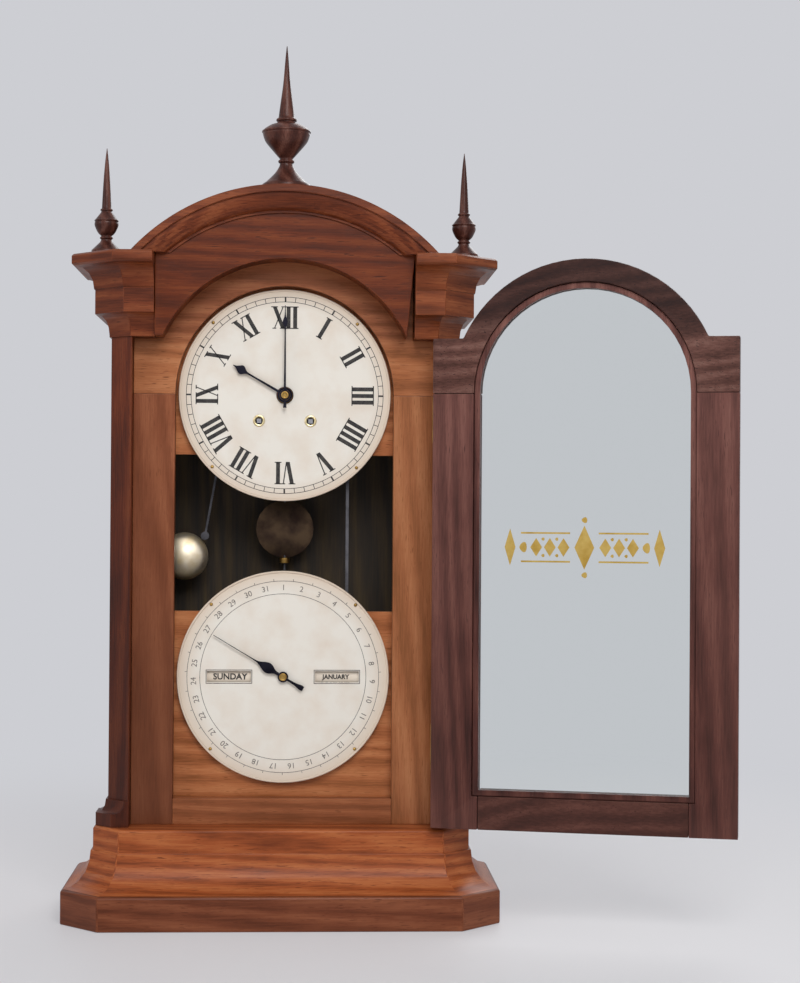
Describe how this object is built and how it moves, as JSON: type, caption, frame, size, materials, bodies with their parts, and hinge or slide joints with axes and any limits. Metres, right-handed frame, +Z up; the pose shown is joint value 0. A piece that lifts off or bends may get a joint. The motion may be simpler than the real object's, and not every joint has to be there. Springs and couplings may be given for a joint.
{
  "type": "calendar clock",
  "caption": "Walnut shelf clock with an arched bonnet, a time dial above a calendar dial, a pendulum and a glazed door that swings open on butt hinges.",
  "frame": {"origin": "middle of the case width on the underside of the base, where the clock stands", "axes": "+Z up, +Y to the back, +X to the right as seen from the front"},
  "size_m": [0.6126, 0.2251, 0.8131],
  "materials": {
    "walnut": "varnished, semi-gloss",
    "dark_walnut": "varnished, semi-gloss",
    "base_walnut": "varnished, semi-gloss",
    "pine": "bare, aged",
    "dial_paper": "printed paper on a zinc pan, matte",
    "roller_paper": "printed paper on a wooden drum, matte",
    "brass": "lacquered",
    "bell_metal": "polished",
    "steel": "bright",
    "blued_steel": "blued",
    "glass": "clear"
  },
  "bodies": {
    "case": {"plinth": "base_walnut", "base_moulding": "base_walnut", "left_corner_post": "dark_walnut", "right_corner_post": "dark_walnut", "left_side_board": "walnut", "right_side_board": "walnut", "back_board": "pine", "face_left_stile": "walnut", "face_right_stile": "walnut", "face_bottom_rail": "walnut", "face_arch": "walnut", "bonnet_front": "walnut", "bonnet_roof": "walnut", "bonnet_cornice": "dark_walnut", "left_cornice_cap": "walnut", "right_cornice_cap": "walnut", "centre_finial": "dark_walnut", "left_finial": "dark_walnut", "right_finial": "dark_walnut", "upper_dial_board": "walnut", "lower_dial_board": "walnut", "time_dial": "dial_paper", "calendar_dial": "dial_paper", "movement_front_plate": "brass", "movement_back_plate": "brass", "bell": "bell_metal", "calendar_frame": "brass", "lower_hinge_case_leaf": "brass", "upper_hinge_case_leaf": "brass"},
    "door": {"door_hinge_stile": "dark_walnut", "door_latch_stile": "dark_walnut", "door_bottom_rail": "dark_walnut", "door_arch_rail": "dark_walnut", "door_glass": "glass", "glazing_bead": "dark_walnut", "lower_hinge_door_leaf": "brass", "upper_hinge_door_leaf": "brass"},
    "bolt": {"door_bolt": "brass"},
    "minute": {"cannon_pinion": "brass", "minute_hand": "blued_steel"},
    "hour": {"hour_wheel": "brass", "hour_hand": "blued_steel"},
    "minute_gear": {"minute_wheel": "brass"},
    "centre": {"centre_arbor": "brass"},
    "time_drive": {"time_great_wheel": "brass"},
    "third": {"third_wheel": "brass"},
    "escape": {"escape_wheel": "brass"},
    "time_winder": {"time_mainspring_arbor": "steel"},
    "strike_drive": {"strike_great_wheel": "brass"},
    "strike_winder": {"strike_mainspring_arbor": "steel"},
    "anchor": {"verge": "steel"},
    "pendulum": {"pendulum_rod": "steel", "pendulum_bob": "brass"},
    "rating": {"rating_nut": "brass"},
    "hammer": {"strike_hammer": "steel"},
    "date": {"date_wheel": "brass", "date_hand": "blued_steel"},
    "day": {"day_roller": "roller_paper"},
    "month": {"month_roller": "roller_paper"},
    "lift": {"lift_rod": "steel"}
  },
  "joints": [
    {"name": "door_hinge", "type": "hinge", "parent": "case", "child": "door", "pos_m": [0.14, -0.0546, 0.3], "axis": [0, 0, 1], "range_deg": [-166, 8]},
    {"name": "bolt_slide", "type": "slide", "parent": "door", "child": "bolt", "axis": [0.9703, -0.2419, 0], "range_m": [0, 0.0045]},
    {"name": "minute_turn", "type": "hinge", "parent": "case", "child": "minute", "pos_m": [0, 0, 0.489], "axis": [0, 1, 0], "continuous": true},
    {"name": "hour_turn", "type": "hinge", "parent": "case", "child": "hour", "pos_m": [0, 0, 0.489], "axis": [0, 1, 0], "continuous": true},
    {"name": "minute_wheel_turn", "type": "hinge", "parent": "case", "child": "minute_gear", "pos_m": [0, 0, 0.513], "axis": [0, 1, 0], "continuous": true},
    {"name": "third_turn", "type": "hinge", "parent": "case", "child": "third", "pos_m": [-0.01867, 0, 0.50767], "axis": [0, 1, 0], "continuous": true},
    {"name": "centre_turn", "type": "hinge", "parent": "case", "child": "centre", "pos_m": [0, 0, 0.489], "axis": [0, 1, 0], "continuous": true},
    {"name": "time_drive_turn", "type": "hinge", "parent": "case", "child": "time_drive", "pos_m": [0.02413, 0, 0.46487], "axis": [0, 1, 0], "continuous": true},
    {"name": "escape_turn", "type": "hinge", "parent": "case", "child": "escape", "pos_m": [0, 0, 0.51931], "axis": [0, 1, 0], "continuous": true},
    {"name": "time_winding", "type": "hinge", "parent": "case", "child": "time_winder", "pos_m": [0.02413, 0, 0.46487], "axis": [0, 1, 0], "continuous": true},
    {"name": "strike_drive_turn", "type": "hinge", "parent": "case", "child": "strike_drive", "pos_m": [-0.02413, 0, 0.46487], "axis": [0, 1, 0], "continuous": true},
    {"name": "strike_winding", "type": "hinge", "parent": "case", "child": "strike_winder", "pos_m": [-0.02413, 0, 0.46487], "axis": [0, 1, 0], "continuous": true},
    {"name": "pendulum_swing", "type": "hinge", "parent": "case", "child": "pendulum", "pos_m": [0, 0.048, 0.556], "axis": [0, 1, 0], "range_deg": [-5, 5]},
    {"name": "verge_rock", "type": "hinge", "parent": "case", "child": "anchor", "pos_m": [0, 0, 0.54131], "axis": [0, 1, 0], "range_deg": [-7.5, 7.5]},
    {"name": "rating_nut_turn", "type": "hinge", "parent": "pendulum", "child": "rating", "pos_m": [0, 0.048, 0.33], "axis": [0, 0, 1], "continuous": true},
    {"name": "hammer_lift", "type": "hinge", "parent": "case", "child": "hammer", "pos_m": [-0.055, 0, 0.481], "axis": [0, -1, 0], "range_deg": [0, 5]},
    {"name": "date_turn", "type": "hinge", "parent": "case", "child": "date", "pos_m": [0, 0, 0.225], "axis": [0, 1, 0], "continuous": true},
    {"name": "day_turn", "type": "hinge", "parent": "case", "child": "day", "pos_m": [0, -0.009, 0.225], "axis": [1, 0, 0], "continuous": true},
    {"name": "month_turn", "type": "hinge", "parent": "case", "child": "month", "pos_m": [0, -0.009, 0.225], "axis": [1, 0, 0], "continuous": true},
    {"name": "lift_slide", "type": "slide", "parent": "case", "child": "lift", "axis": [0, 0, 1], "range_m": [0, 0.006]}
  ],
  "couplings": [
    {"joint": "hour_turn", "follows": "minute_turn", "ratio": 0.083333},
    {"joint": "minute_wheel_turn", "follows": "minute_turn", "ratio": -0.33333},
    {"joint": "centre_turn", "follows": "third_turn", "ratio": -0.1},
    {"joint": "time_drive_turn", "follows": "third_turn", "ratio": 0.0083333},
    {"joint": "escape_turn", "follows": "third_turn", "ratio": -10},
    {"joint": "verge_rock", "follows": "pendulum_swing", "ratio": 1.426},
    {"joint": "day_turn", "follows": "date_turn", "ratio": 4.4286},
    {"joint": "month_turn", "follows": "date_turn", "ratio": 0.083333}
  ]
}
